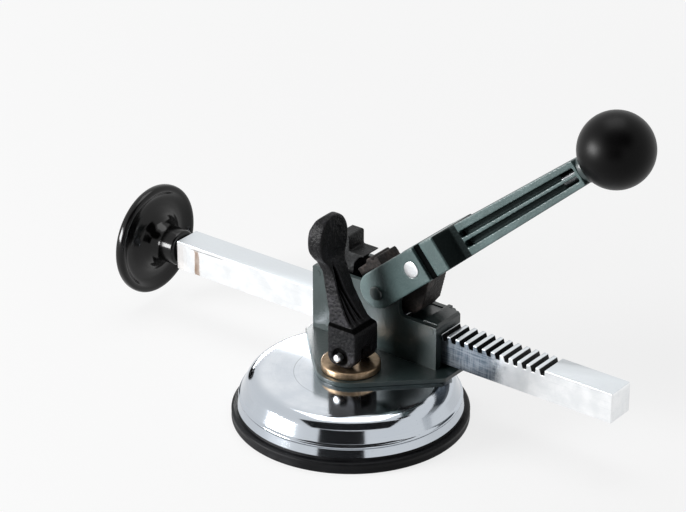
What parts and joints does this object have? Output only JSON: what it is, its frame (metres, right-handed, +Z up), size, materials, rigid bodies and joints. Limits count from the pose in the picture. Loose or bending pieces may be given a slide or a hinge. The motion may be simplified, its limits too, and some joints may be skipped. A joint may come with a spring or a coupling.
{
  "type": "floor tile suction lifter",
  "caption": "Floor tile suction lifter: steel-domed rubber cup with a cam lever, and a ratchet housing that pumps a toothed square bar with a round push pad by a ball-ended handle.",
  "frame": {"origin": "Centre of the suction cup, on the flat underside of the rubber disc, where it meets the tile.", "axes": "+Z points up from the tile, +X runs along the toothed bar away from the push pad, +Y points from the cup to the bar."},
  "size_m": [0.307, 0.1262, 0.186],
  "materials": {
    "black_rubber": "matte moulded black rubber",
    "polished_steel": "polished pressed steel",
    "zinc_steel": "bright zinc-plated steel",
    "dark_steel": "oiled dark steel",
    "green_black_paint": "semi-gloss dark green-black enamel",
    "black_casting": "black painted rough casting",
    "brown_casting": "brown-black rough casting",
    "bronze": "turned bronze",
    "black_plastic": "glossy black moulded plastic"
  },
  "bodies": {
    "base": {"rubber_disc": "black_rubber", "dome_cover": "polished_steel", "thrust_ring": "bronze", "base_plate": "green_black_paint", "side_plate_near": "green_black_paint", "side_plate_far": "green_black_paint", "guide_block_rear": "black_casting", "guide_block_front": "black_casting", "guide_rivets": "dark_steel", "wear_strip": "bronze", "holding_pawl_pin": "dark_steel", "handle_pivot_pin": "dark_steel", "holding_pawl_spring": "dark_steel"},
    "stud": {"pull_stud": "zinc_steel", "insert_plate": "zinc_steel", "lever_pin": "zinc_steel"},
    "cam": {"cam_lever": "black_casting"},
    "handle_arm": {"handle": "green_black_paint", "drive_pawl_rivet": "zinc_steel", "knob_stud": "zinc_steel", "knob_collar": "green_black_paint", "ball_knob": "black_plastic", "drive_pawl_spring": "dark_steel"},
    "drive": {"drive_pawl": "brown_casting"},
    "hold": {"holding_pawl": "dark_steel"},
    "rack": {"rack_bar": "zinc_steel", "push_pad": "black_plastic", "pad_washer": "zinc_steel", "pad_screw": "zinc_steel"}
  },
  "joints": [
    {"name": "lever_fold", "type": "hinge", "parent": "stud", "child": "cam", "pos_m": [0, 0, 0.0363], "axis": [0, 1, 0], "range_deg": [0, 90]},
    {"name": "stud_lift", "type": "slide", "parent": "base", "child": "stud", "axis": [0, 0, 1], "range_m": [0, 0.0045]},
    {"name": "handle_swing", "type": "hinge", "parent": "base", "child": "handle_arm", "pos_m": [0.0017, 0.0362, 0.061], "axis": [0, -1, 0], "range_deg": [0, 35]},
    {"name": "drive_pawl_lift", "type": "hinge", "parent": "handle_arm", "child": "drive", "pos_m": [0.0227, 0.0362, 0.08045], "axis": [0, 1, 0], "range_deg": [0, 3], "stiffness_Nm_per_rad": 0.3, "springref_deg": -8.59, "deforming": ["drive_pawl_spring"]},
    {"name": "holding_pawl_release", "type": "hinge", "parent": "base", "child": "hold", "pos_m": [-0.0251, 0.0362, 0.0547], "axis": [0, -1, 0], "range_deg": [0, 12], "stiffness_Nm_per_rad": 0.3, "springref_deg": -8.59, "deforming": ["holding_pawl_spring"]},
    {"name": "bar_slide", "type": "slide", "parent": "base", "child": "rack", "axis": [1, 0, 0], "range_m": [-0.09, 0.09]}
  ],
  "couplings": [
    {"joint": "stud_lift", "follows": "lever_fold", "m_per_rad": 0.0028648}
  ]
}
